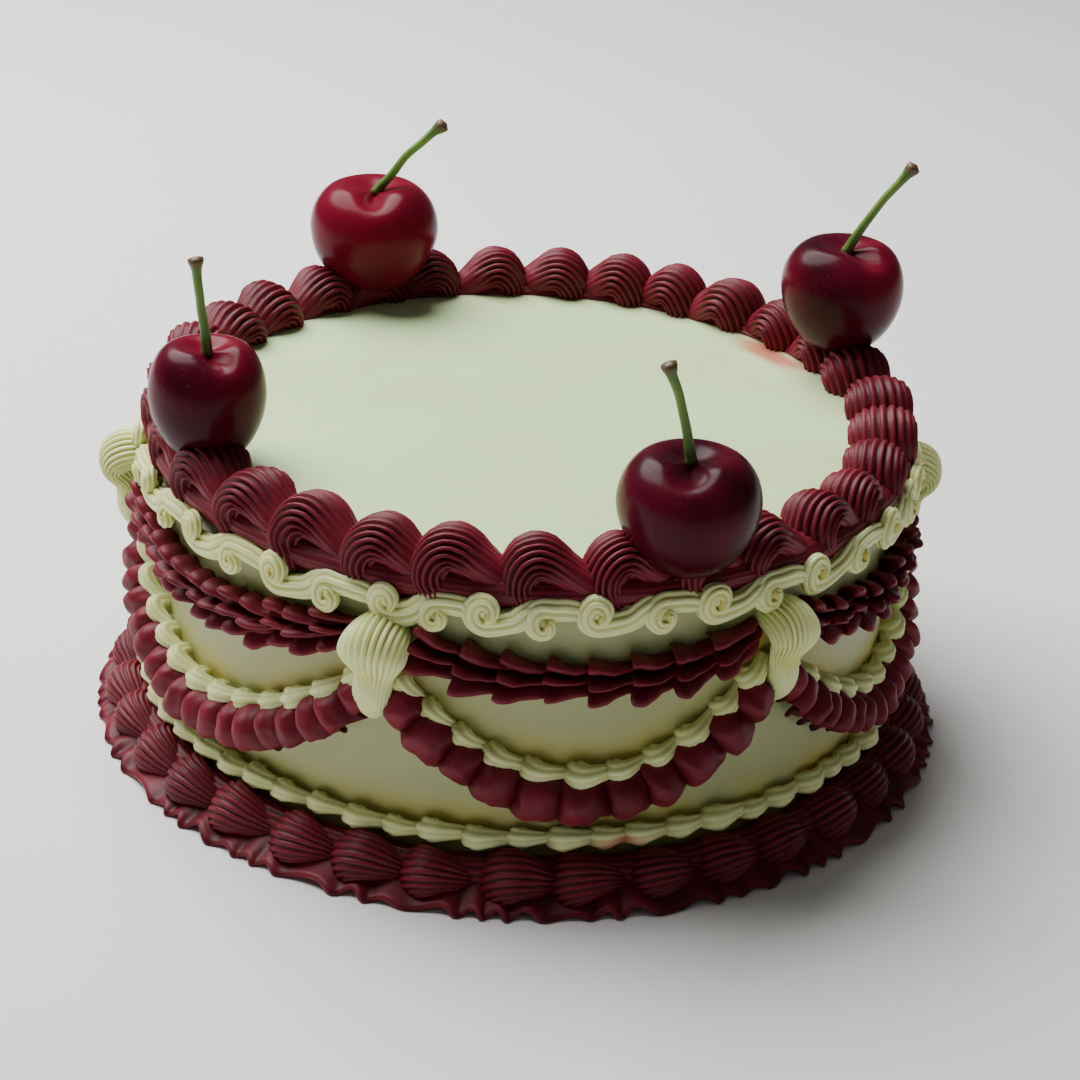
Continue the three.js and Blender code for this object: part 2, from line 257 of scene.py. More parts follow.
def finishPiece(bm, name, material, slot, *nodes, soften=0):
    bmesh.ops.scale(bm, vec=(millimetre,) * 3, verts=bm.verts[:])
    for face in bm.faces:
        face.smooth = True
    mesh = bpy.data.meshes.new(name)
    bm.to_mesh(mesh)
    bm.free()
    mesh.materials.append(material)
    piece = bpy.data.objects.new(name, mesh)
    bpy.context.scene.collection.objects.link(piece)
    if soften:
        rounding = piece.modifiers.new("soften", "SUBSURF")
        rounding.levels = soften
        rounding.render_levels = soften
    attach(piece, "root")
    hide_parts(*nodes)
    print("cake:", name, len(mesh.polygons), "faces")


# finishes

def startFinish(name):
    material = bpy.data.materials.new(name)
    material.use_nodes = True
    nodes = material.node_tree.nodes
    links = material.node_tree.links
    shader = next(n for n in nodes if n.type == "BSDF_PRINCIPLED")
    return material, nodes, links, shader


def attributeNode(nodes, name):
    node = nodes.new("ShaderNodeAttribute")
    node.attribute_name = name
    return node


def noiseNode(nodes, links, scale, detail):
    place = nodes.new("ShaderNodeTexCoord")
    node = nodes.new("ShaderNodeTexNoise")
    node.inputs["Scale"].default_value = scale
    node.inputs["Detail"].default_value = detail
    links.new(place.outputs["Object"], node.inputs["Vector"])
    return node


def rampNode(nodes, links, source, stops):
    node = nodes.new("ShaderNodeValToRGB")
    ramp = node.color_ramp
    ramp.elements[0].position = stops[0][0]
    ramp.elements[0].color = (*stops[0][1], 1)
    ramp.elements[1].position = stops[-1][0]
    ramp.elements[1].color = (*stops[-1][1], 1)
    for position, colour in stops[1:-1]:
        ramp.elements.new(position).color = (*colour, 1)
    links.new(source, node.inputs["Fac"])
    return node


def mixNode(nodes, links, factor, first, second, blend="MIX"):
    node = nodes.new("ShaderNodeMix")
    node.data_type = "RGBA"
    node.blend_type = blend
    if isinstance(factor, (int, float)):
        node.inputs["Factor"].default_value = factor
    else:
        links.new(factor, node.inputs["Factor"])
    for socket, value in ((node.inputs[6], first), (node.inputs[7], second)):
        if isinstance(value, tuple):
            socket.default_value = (*value, 1)
        else:
            links.new(value, socket)
    return node.outputs[2]


def bumpNode(nodes, links, height, strength, distance, shader):
    node = nodes.new("ShaderNodeBump")
    node.inputs["Strength"].default_value = strength
    node.inputs["Distance"].default_value = distance
    links.new(height, node.inputs["Height"])
    links.new(node.outputs["Normal"], shader.inputs["Normal"])


def mottled(nodes, links, finish):
    mottle = noiseNode(nodes, links, finish["mottle"], finish["mottleDetail"])
    stops = [(0.35, finish["shade"]), (0.65, finish["light"])]
    return rampNode(nodes, links, mottle.outputs["Fac"], stops).outputs["Color"]


def tinted(nodes, links, attribute, under, colour):
    share = attributeNode(nodes, attribute)
    return mixNode(nodes, links, share.outputs["Fac"], under, colour)


def softIcing(nodes, links, shader, toned, finish):
    links.new(toned, shader.inputs["Base Color"])
    shader.inputs["Roughness"].default_value = finish["roughness"]
    shader.inputs["Subsurface Weight"].default_value = finish["softness"]
    shader.inputs["Subsurface Radius"].default_value = finish["softRadius"]
    shader.inputs["Subsurface Scale"].default_value = finish["softDepth"]
    fine = noiseNode(nodes, links, finish["grain"], 3)
    bumpNode(nodes, links, fine.outputs["Fac"], finish["grainStrength"], finish["grainDepth"], shader)


creamTexture = {
    "mottle": 38,
    "mottleDetail": 4,
    "creaseShadePower": 2.2,
    "roughness": 0.42,
    "softness": 0.25,
    "softRadius": (1.0, 0.8, 0.4),
    "softDepth": 0.002,
    "grain": 900,
    "grainStrength": 0.12,
    "grainDepth": 0.0004,
}

coatFinish = {
    **creamTexture,
    "light": (0.68, 0.88, 0.48),
    "shade": (0.64, 0.82, 0.40),
    "paintedCreaseShade": (0.62, 0.53, 0.14),
    # painted shade colour for the drum's wall
    "side": (0.43, 0.455, 0.195),
    "butterBleedAndShade": (0.62, 0.50, 0.09),
    "bleed": (0.60, 0.08, 0.06),
}

pipingFinish = {
    **creamTexture,
    "light": (0.85, 0.95, 0.46),
    "shade": (0.79, 0.87, 0.37),
    "paintedCreaseShade": (0.70, 0.60, 0.15),
    "side": (0.79, 0.87, 0.37),
    "butterBleedAndShade": (0.76, 0.63, 0.12),
    "bleed": (0.58, 0.07, 0.06),
}


def makeCream(name, finish):
    material, nodes, links, shader = startFinish(name)
    # painted shade: the drum's wall takes the darker side colour
    toned = tinted(nodes, links, "side", mottled(nodes, links, finish), finish["side"])
    # painted shade: grooves and creases are darkened
    paintedShade = attributeNode(nodes, "paintedShade")
    creaseShadeShare = nodes.new("ShaderNodeMath")
    creaseShadeShare.operation = "POWER"
    creaseShadeShare.inputs[1].default_value = finish["creaseShadePower"]
    links.new(paintedShade.outputs["Fac"], creaseShadeShare.inputs[0])
    toned = mixNode(nodes, links, creaseShadeShare.outputs[0], toned, finish["paintedCreaseShade"])
    # yellow from butter bleed on the wall, yellower snail eyes, and painted shade in the dent at each drop
    # shell's waist
    toned = tinted(nodes, links, "butterBleedAndShade", toned, finish["butterBleedAndShade"])
    toned = tinted(nodes, links, "bleed", toned, finish["bleed"])
    softIcing(nodes, links, shader, toned, finish)
    return material


burgundyFinish = {
    "light": (0.225, 0.014, 0.031),
    "shade": (0.150, 0.008, 0.019),
    "paintedCreaseShade": (0.044, 0.002, 0.005),
    "mottle": 55,
    "mottleDetail": 5,
    "roughness": 0.48,
    "shine": 0.26,
    "softness": 0.1,
    "softRadius": (1.0, 0.25, 0.25),
    "softDepth": 0.0015,
    "grain": 800,
    "grainStrength": 0.15,
    "grainDepth": 0.0004,
}


def makeBurgundy(finish):
    material, nodes, links, shader = startFinish("burgundyIcing")
    # painted shade: grooves are darkened
    toned = tinted(nodes, links, "paintedShade", mottled(nodes, links, finish), finish["paintedCreaseShade"])
    softIcing(nodes, links, shader, toned, finish)
    shader.inputs["Specular IOR Level"].default_value = finish["shine"]
    return material


skinFinish = {
    "dark": (0.028, 0.0016, 0.006),
    "middle": (0.090, 0.004, 0.016),
    "red": (0.21, 0.005, 0.020),
    "speck": (0.24, 0.03, 0.03),
    "speckMost": (0.35, 0.35, 0.35),
    "patches": 45,
    "specks": 1400,
    "dents": 130,
    "dentStrength": 0.12,
    "dentDepth": 0.0006,
    "roughness": 0.26,
    "shine": 0.08,
    "gloss": 0.04,
    "glossRoughness": 0.12,
}


def makeCherrySkin(finish):
    material, nodes, links, shader = startFinish("cherrySkin")
    patches = noiseNode(nodes, links, finish["patches"], 2)
    base = rampNode(nodes, links, patches.outputs["Fac"],
                    [(0.30, finish["dark"]), (0.52, finish["middle"]), (0.78, finish["red"])])
    toned = tinted(nodes, links, "ripe", base.outputs["Color"], finish["red"])
    specks = noiseNode(nodes, links, finish["specks"], 1)
    speckShare = rampNode(nodes, links, specks.outputs["Fac"],
                          [(0.66, (0, 0, 0)), (0.74, finish["speckMost"])])
    toned = mixNode(nodes, links, speckShare.outputs["Color"], toned, finish["speck"])
    # painted shade: the lower half of the fruit is darkened
    toned = tinted(nodes, links, "lowerShade", toned, finish["dark"])
    links.new(toned, shader.inputs["Base Color"])
    shader.inputs["Roughness"].default_value = finish["roughness"]
    shader.inputs["Specular IOR Level"].default_value = finish["shine"]
    shader.inputs["Coat Weight"].default_value = finish["gloss"]
    shader.inputs["Coat Roughness"].default_value = finish["glossRoughness"]
    dents = noiseNode(nodes, links, finish["dents"], 2)
    bumpNode(nodes, links, dents.outputs["Fac"], finish["dentStrength"], finish["dentDepth"], shader)
    return material


stalkFinish = {
    "foot": (0.13, 0.15, 0.03),
    "green": (0.070, 0.17, 0.014),
    "pale": (0.15, 0.26, 0.025),
    "knob": (0.11, 0.062, 0.022),
    "streaks": 420,
    "streakShare": 0.45,
    "streakStrength": 0.3,
    "streakDepth": 0.0003,
    "roughness": 0.42,
}


def makeStalkSkin(finish):
    material, nodes, links, shader = startFinish("cherryStalk")
    grown = attributeNode(nodes, "grown")
    base = rampNode(nodes, links, grown.outputs["Fac"],
                    [(0.0, finish["foot"]), (0.12, finish["green"]), (0.7, finish["pale"]),
                     (0.86, finish["green"]), (0.93, finish["knob"])])
    streaks = noiseNode(nodes, links, finish["streaks"], 4)
    toned = mixNode(nodes, links, finish["streakShare"], base.outputs["Color"], streaks.outputs["Color"],
                    "SOFT_LIGHT")
    links.new(toned, shader.inputs["Base Color"])
    shader.inputs["Roughness"].default_value = finish["roughness"]
    bumpNode(nodes, links, streaks.outputs["Fac"], finish["streakStrength"], finish["streakDepth"], shader)
    return material


coatCream = makeCream("coatCream", coatFinish)
cream = makeCream("pipedCream", pipingFinish)
burgundy = makeBurgundy(burgundyFinish)
cherrySkin = makeCherrySkin(skinFinish)
stalkSkin = makeStalkSkin(stalkFinish)
print("cake: finishes ready")


# strokes of the piping bag, in millimetres: (along, rise, heading, thick, wide)
shellStroke = [
    (-0.6, -5.2, 100, 2.8, 4.8),
    (-1.8, -2.4, 108, 3.7, 6.2),
    (-2.6, -0.4, 96, 4.2, 7.0),
    (-2.4, 2.2, 70, 4.5, 7.4),
    (-0.8, 4.6, 36, 4.7, 7.6),
    (1.4, 5.4, 2, 4.7, 7.4),
    (3.6, 4.6, -26, 4.5, 6.9),
    (5.7, 3.1, -36, 4.3, 6.3),
    (8.2, 1.2, -36, 4.1, 5.7),
    (11.2, -0.6, -28, 3.8, 5.0),
    (14.5, -1.9, -18, 3.2, 4.2),
]

footStroke = [
    (-0.6, -4.6, 100, 2.6, 3.6),
    (-2.0, -2.0, 108, 3.5, 5.0),
    (-2.8, 0.2, 94, 4.0, 5.7),
    (-2.4, 2.6, 68, 4.3, 5.9),
    (-0.8, 4.5, 34, 4.4, 5.7),
    (1.4, 5.0, -2, 4.2, 5.1),
    (3.8, 4.2, -24, 3.8, 4.2),
    (6.4, 2.9, -28, 3.3, 3.2),
    (9.0, 1.7, -24, 2.8, 2.4),
    (11.8, 0.8, -20, 2.3, 1.8),
    (14.2, 0.0, -18, 1.8, 1.4),
]

beadStroke = [
    (-0.9, -1.4, 90, 2.2, 2.4),
    (-1.0, 0.6, 90, 2.7, 2.9),
    (-0.7, 1.9, 72, 2.8, 3.1),
    (0.2, 2.7, 36, 2.5, 3.0),
    (1.6, 2.5, -10, 1.9, 2.5),
    (3.4, 1.7, -22, 1.5, 2.1),
    (5.6, 1.0, -14, 1.2, 1.8),
    (7.8, 0.6, -10, 0.9, 1.5),
    (9.6, 0.1, -12, 0.5, 0.9),
]

dropStroke = [
    (-1.8, -1.0, 92, 3.4, 4.6),
    (-2.2, 2.4, 92, 3.8, 6.0),
    (-2.2, 5.2, 80, 4.0, 6.8),
    (-1.2, 7.2, 44, 4.0, 7.1),
    (0.4, 7.8, 4, 3.7, 6.9),
    (2.2, 7.2, -26, 3.3, 6.1),
    (4.2, 6.1, -28, 3.0, 5.0),
    (6.2, 5.3, -16, 2.9, 4.2),
    (8.2, 5.0, -4, 3.1, 4.1),
    (10.6, 5.0, -2, 3.3, 4.2),
    (12.8, 4.6, -12, 3.1, 3.9),
    (15.0, 3.7, -26, 2.4, 3.0),
    (17.0, 2.5, -32, 1.4, 1.7),
    (18.6, 1.4, -32, 0.3, 0.4),
]


# smooth iced drum

drum = {"turns": 240, "wallRows": 46, "edgeRows": 5, "topRows": 26, "wobble": 0.22, "topWobble": 0.6,
        # painted shade: the wall takes this share of the darker side colour
        "wallShadeShare": 0.95,
        # yellow just above the cream garland and the bead line
        "swagTint": {"from": 1.5, "fade": 5.0, "below": -1, "strength": 1.1},
        "footTint": {"from": 13.5, "fade": 4.0, "share": 0.8},
        # red where burgundy icing touched the top
        "stain": {"at": (54.5, 39.0), "spread": 9.5, "ring": 67.2, "width": 2.4,
                  "strength": 2.4, "most": 0.85},
        "smears": [{"at": (-3, 33), "spread": (11, 2.2), "share": 0.10},
                   {"at": (26, 56.5), "spread": (9, 1.6), "share": 0.14}]}


def wallTint(place, swag, foot):
    gap = aboveSwag(place)
    tint = math.exp(-(max(gap - swag["from"], 0) / swag["fade"]) ** 2) if gap > swag["below"] else 0
    return max(tint, math.exp(-(max(place.z - foot["from"], 0) / foot["fade"]) ** 2) * foot["share"])


def topStain(place, reach, ragged, stain, smears):
    spot = Vector((place.x - stain["at"][0], place.y - stain["at"][1]))
    rim = math.exp(-((reach - stain["ring"]) / stain["width"]) ** 2)
    rim *= math.exp(-(spot.length / stain["spread"]) ** 2)
    smear = 0
    for s in smears:
        x = (place.x - s["at"][0]) / s["spread"][0]
        y = (place.y - s["at"][1]) / s["spread"][1]
        smear += math.exp(-(x ** 2 + y ** 2)) * s["share"]
    return min(stain["most"], rim * ragged * stain["strength"] + smear * ragged)


def makeDrum(p):
    bm = bmesh.new()
    side = bm.verts.layers.float.new("side")
    butterBleedAndShade = bm.verts.layers.float.new("butterBleedAndShade")
    bleed = bm.verts.layers.float.new("bleed")
    radius, height, rounding = cake["wallRadius"], cake["height"], cake["edgeRound"]
    profile = [Vector((0, 0, 0)), Vector((radius * 0.5, 0, 0)), Vector((radius, 0, 0))]
    for i in range(1, p["wallRows"] + 1):
        profile.append(Vector((radius, 0, (height - rounding) * i / p["wallRows"])))
    for i in range(1, p["edgeRows"] + 1):
        turn = math.pi / 2 * i / p["edgeRows"]
        across = radius - rounding + rounding * math.cos(turn)
        profile.append(Vector((across, 0, height - rounding + rounding * math.sin(turn))))
    for i in range(1, p["topRows"] + 1):
        profile.append(Vector(((radius - rounding) * (1 - i / p["topRows"]), 0, height)))
    line = [bm.verts.new(place) for place in profile]
    edges = [bm.edges.new(pair) for pair in zip(line, line[1:])]
    bmesh.ops.spin(bm, geom=line + edges, cent=(0, 0, 0), axis=(0, 0, 1), angle=2 * math.pi,
                   steps=p["turns"], use_merge=True)
    bmesh.ops.remove_doubles(bm, verts=bm.verts[:], dist=0.001)
    bmesh.ops.recalc_face_normals(bm, faces=bm.faces[:])
    for v in bm.verts:
        reach = math.hypot(v.co.x, v.co.y)
        inside = reach < radius - 1
        ragged = 0.6 + 0.8 * noise.noise(v.co * 0.09 + Vector((3, 9, 1)))
        if reach > radius - 1 and v.co.z < height - 1:
            tint = wallTint(v.co, p["swagTint"], p["footTint"])
            v[butterBleedAndShade] = clamp(tint * ragged * p["swagTint"]["strength"])
            # painted shade on the wall
            v[side] = p["wallShadeShare"]
        if v.co.z > height - 0.5:
            v[bleed] = topStain(v.co, reach, ragged, p["stain"], p["smears"])
        if v.co.z > 1:
            push = noise.noise(v.co * 0.035 + Vector((5, 1, 8))) * p["wobble"]
            lift = p["topWobble"] if inside else 0
            v.co += Vector((v.co.x / max(reach, 1), v.co.y / max(reach, 1), lift)) * push
    finishPiece(bm, "icedDrum", coatCream, "cream_icing", "cake_body")


makeDrum(drum)


# shells round the top edge; walk is the radius, or how far out of the ring, that lengths are walked at

topShells = {"count": 31, "first": 1.6, "ring": 76.4, "height": 68.1, "ringSway": 1.1, "heightSway": -1.6,
             "walkOut": 4, "tilt": 100, "long": 1.0, "tall": 1.0, "wide": 1.0, "steps": 28, "softFrom": 0.6,
             "small": {"at": 52, "spread": 30, "share": 0.13},
             "stray": {"place": 0.06, "size": (0.95, 1.05), "yaw": 0.08, "tilt": 5},
             "bed": {"ring": 76.4, "height": 67.1, "wide": 5.8, "tall": 3.7, "turns": 144,
                     "nozzle": {"teeth": 22, "perTooth": 3, "depth": 0.07, "crest": 0.8}},
             "nozzle": {"teeth": 21, "perTooth": 4, "depth": 0.25, "crest": 0.7},
             "uneven": [(0.35, 0.11, 11), (0.16, 0.5, 12)], "seed": 11}


def icingBed(bed, ringSway=0.0, heightSway=0.0):
    # the tails run together into one ring under the shells
    bm = bmesh.new()
    starRing(bm, bed["nozzle"])
    bmesh.ops.delete(bm, geom=bm.faces[:], context="FACES_ONLY")
    stand = Matrix(((bed["wide"], 0, 0, bed["ring"]), (0, 0, 1, 0),
                    (0, bed["tall"], 0, bed["height"]), (0, 0, 0, 1)))
    bmesh.ops.transform(bm, matrix=stand, verts=bm.verts[:])
    bmesh.ops.spin(bm, geom=bm.verts[:] + bm.edges[:], cent=(0, 0, 0), axis=(0, 0, 1), angle=2 * math.pi,
                   steps=bed["turns"], use_merge=True)
    bmesh.ops.remove_doubles(bm, verts=bm.verts[:], dist=0.001)
    bmesh.ops.recalc_face_normals(bm, faces=bm.faces[:])
    for v in bm.verts:
        angle = angleOf(v.co)
        reach = math.hypot(v.co.x, v.co.y) + ringSway * math.cos(angle)
        v.co = aroundCake(angle, reach, v.co.z + heightSway * math.cos(angle))
    return bm


def makeTopShells(p):
    rng = random.Random(p["seed"])
    stray = p["stray"]
    whole = bmesh.new()
    pitch = 2 * math.pi / p["count"]
    for i in range(p["count"]):
        angle = math.radians(p["first"]) + pitch * (i + rng.uniform(-stray["place"], stray["place"]))
        size = rng.uniform(*stray["size"])
        fromSmall = (math.degrees(angle) - p["small"]["at"]) / p["small"]["spread"]
        size *= 1 - p["small"]["share"] * math.exp(-fromSmall ** 2)
        yaw = rng.uniform(-stray["yaw"], stray["yaw"])
        tilt = math.radians(p["tilt"] + rng.uniform(-stray["tilt"], stray["tilt"]))
        ring = p["ring"] + p["ringSway"] * math.cos(angle)
        height = p["height"] + p["heightSway"] * math.cos(angle)

        def frameAt(x):
            return standOn(angle + x / (ring + p["walkOut"]), ring + x * yaw, height, 0, tilt)

        stations = strokeStations(shellStroke, p, size, frameAt)
        gather(whole, pipe(starRing, p["nozzle"], stations, p["softFrom"]))
    gather(whole, icingBed(p["bed"], p["ringSway"], p["heightSway"]))
    unevenness(whole, p["uneven"])
    finishPiece(whole, "topShells", burgundy, "burgundy_icing", "top_border")


makeTopShells(topShells)


# shells round the foot

footShells = {"count": 36, "ring": 84.0, "height": 2.6, "walk": 88.0, "tilt": 45, "lowest": 0.15,
              "long": 0.96, "tall": 0.96, "wide": 1.0, "steps": 26, "softFrom": 0.8,
              "stray": {"place": 0.08, "size": (0.94, 1.05), "tilt": 6},
              "bed": {"ring": 83.6, "height": 4.2, "wide": 3.7, "tall": 4.2, "turns": 144,
                      "nozzle": {"teeth": 16, "perTooth": 3, "depth": 0.08, "crest": 0.8}},
              "nozzle": {"teeth": 20, "perTooth": 4, "depth": 0.15, "crest": 0.7},
              "uneven": [(0.3, 0.12, 23), (0.16, 0.5, 24)], "seed": 23}


def makeFootShells(p):
    rng = random.Random(p["seed"])
    stray = p["stray"]
    whole = bmesh.new()
    pitch = 2 * math.pi / p["count"]
    for i in range(p["count"]):
        angle = pitch * (i + rng.uniform(-stray["place"], stray["place"]))
        size = rng.uniform(*stray["size"])
        tilt = math.radians(p["tilt"] + rng.uniform(-stray["tilt"], stray["tilt"]))

        def frameAt(x):
            return standOn(angle + x / p["walk"], p["ring"], p["height"], 0, tilt)

        stations = strokeStations(footStroke, p, size, frameAt)
        gather(whole, pipe(starRing, p["nozzle"], stations, p["softFrom"]))
    gather(whole, icingBed(p["bed"]))
    unevenness(whole, p["uneven"])
    for v in whole.verts:
        v.co.z = max(v.co.z, p["lowest"])
    finishPiece(whole, "footShells", burgundy, "burgundy_icing", "foot_border")


makeFootShells(footShells)


# line of small shells above the foot, pink along its lower edge and stained in one place

beadLine = {"count": 62, "first": 1.5, "radius": 80.6, "walk": 83.0, "height": 11.4, "tilt": 22,
            "long": 1.0, "tall": 0.95, "wide": 0.8, "steps": 16,
            "nozzle": {"teeth": 7, "perTooth": 5, "depth": 0.2, "crest": 0.75},
            "stray": {"place": 0.1, "size": (0.88, 1.12), "lift": 0.4},
            "pink": {"top": -0.6, "fade": 1.8, "share": 0.35},
            "stain": {"at": 15.2, "spread": 3.4, "top": 2.0, "fade": 1.6, "least": 0.85, "more": 0.5},
            "uneven": [(0.25, 0.2, 37)], "seed": 37}


def makeBeadLine(p):
    rng = random.Random(p["seed"])
    stray, pink, stain = p["stray"], p["pink"], p["stain"]
    whole = bmesh.new()
    pitch = 2 * math.pi / p["count"]
    for i in range(p["count"]):
        angle = math.radians(p["first"]) + pitch * (i + rng.uniform(-stray["place"], stray["place"]))
        size = rng.uniform(*stray["size"])
        lift = rng.uniform(-stray["lift"], stray["lift"])

        def frameAt(x):
            return standOn(angle + x / p["walk"], p["radius"], p["height"] + lift, 0, math.radians(p["tilt"]))

        stations = strokeStations(beadStroke, p, size, frameAt)
        gather(whole, pipe(starRing, p["nozzle"], stations))
    bleed = whole.verts.layers.float.new("bleed")
    for v in whole.verts:
        low = clamp((p["height"] + pink["top"] - v.co.z) / pink["fade"])
        patch = clamp(noise.noise(v.co * 0.11) * 1.6 + 0.25)
        fromStain = (math.degrees(angleOf(v.co)) - stain["at"]) / stain["spread"]
        stained = math.exp(-fromStain ** 2) * clamp((p["height"] + stain["top"] - v.co.z) / stain["fade"])
        v[bleed] = min(0.9, pink["share"] * low * patch + stained * (stain["more"] * patch + stain["least"]))
    unevenness(whole, p["uneven"])
    finishPiece(whole, "beadLine", cream, "cream_icing", "bead_border")


makeBeadLine(beadLine)


# frill that lies round the foot; its waves are (reach, turns, shift)

footFrill = {"waves": 76, "perWave": 12, "rows": 5, "thick": 0.9, "inner": 86.5, "innerHeight": 4.6,
             "hem": 93.7, "hemHeight": 0.5, "fall": 1.2, "sway": 0.7, "lift": 1.7, "curl": 0.45,
             "foldLag": 0.9, "curlLag": 1.2, "lowest": 0.05,
             "wander": [(0.3, 9, 0), (0.24, 23, 1)], "strength": [(0.25, 17, 2), (0.15, 31, 0)]}


def sumWaves(waves, angle, start):
    return sum((reach * math.sin(angle * turns + shift) for reach, turns, shift in waves), start)


def makeFootFrill(p):
    bm = bmesh.new()
    paintedShade = bm.verts.layers.float.new("paintedShade")
    columns = p["waves"] * p["perWave"]
    bmesh.ops.create_grid(bm, x_segments=columns, y_segments=p["rows"], size=0.5)
    for v in bm.verts:
        turn, out = v.co.x + 0.5, v.co.y + 0.5
        angle = 2 * math.pi * turn
        wander = sumWaves(p["wander"], angle, 0)
        strong = sumWaves(p["strength"], angle, 1)
        phase = 2 * math.pi * (turn * p["waves"] + wander)
        radius = p["inner"] + (p["hem"] - p["inner"]) * out + p["sway"] * strong * out * math.sin(phase)
        fold = 0.5 + 0.5 * math.cos(phase + p["foldLag"])
        hemHeight = p["hemHeight"] + p["lift"] * strong * fold
        height = p["innerHeight"] * (1 - out) ** p["fall"] + out * hemHeight
        curl = p["curl"] * out * math.sin(phase + p["curlLag"]) / p["hem"]
        # painted shade towards the inner edge and in the hollows of the folds
        v[paintedShade] = min(1, 0.5 * (1 - out) + 0.45 * (1 - fold))
        v.co = aroundCake(angle + curl, radius, height)
    bmesh.ops.remove_doubles(bm, verts=bm.verts[:], dist=0.01)
    bmesh.ops.recalc_face_normals(bm, faces=bm.faces[:])
    bmesh.ops.solidify(bm, geom=bm.faces[:], thickness=p["thick"])
    for v in bm.verts:
        v.co.z = max(v.co.z, p["lowest"])
    finishPiece(bm, "footFrill", burgundy, "burgundy_icing", "foot_frill")


makeFootFrill(footFrill)


# vine scroll under the top edge

scroll = {"curls": [-52.1, -34.8, -17.8, -4.6, 10.2, 26.7, 43.9, 63.0], "hidden": 14, "radius": 80.8,
          "walk": 82.0, "height": 62.1, "sway": 1.2, "rope": 2.3, "ropeWide": 1.1, "ropeTall": 0.92,
          "rows": 50,
          "nozzle": {"teeth": 8, "perTooth": 5, "depth": 0.24, "crest": 0.8},
          "rising": {"eye": 0.7, "begin": -80, "end": 270, "across": 2.5, "tall": 3.0, "rows": 11},
          "falling": {"eye": -1.1, "begin": 420, "end": 90, "across": 2.2, "tall": 2.6, "rows": 10},
          "stray": {"size": (0.92, 1.08), "middle": 0.6, "turn": 30},
          "heart": {"out": 2.5, "radius": 1.5, "tint": 0.5, "spread": 1.8},
          "uneven": [(0.3, 0.2, 3)], "seed": 3}


def scrollLevel(p, angle):
    # the scroll was piped a little higher on the right
    return p["height"] + p["sway"] * math.sin(angle)


def ropeStations(points, p, baseAngle):
    # points are (along, rise, out, thickness) on the wall
    stations = []
    places = []
    for x, z, out, thick in points:
        angle = baseAngle + x / p["walk"]
        places.append(aroundCake(angle, p["radius"] + out, scrollLevel(p, angle) + z))
    for i, (x, z, out, thick) in enumerate(points):
        along = (places[min(i + 1, len(places) - 1)] - places[max(i - 1, 0)]).normalized()
        angle = baseAngle + x / p["walk"]
        outward = Vector((math.sin(angle), -math.cos(angle), 0))
        across = outward.cross(along).normalized()
        rise = along.cross(across)
        turn = Matrix((across * thick * p["ropeWide"], rise * thick * p["ropeTall"], along))
        stations.append(Matrix.Translation(places[i]) @ turn.transposed().to_4x4())
    return stations


def snail(shape, middle, stray, size, rope):
    # a coil from its raised eye outwards, turning from the angle begin to end
    begin, end = shape["begin"] + stray, shape["end"]
    across, tall = shape["across"] * size, shape["tall"] * size
    rows = []
    for k in range(shape["rows"]):
        share = k / (shape["rows"] - 1)
        turn = math.radians(begin + (end - begin) * share)
        reach = 0.2 + 0.8 * share
        rows.append((middle + across * reach * math.cos(turn), shape["eye"] + tall * reach * math.sin(turn),
                     4.0 - 2.0 * share, rope * (0.62 + 0.4 * share)))
    return rows


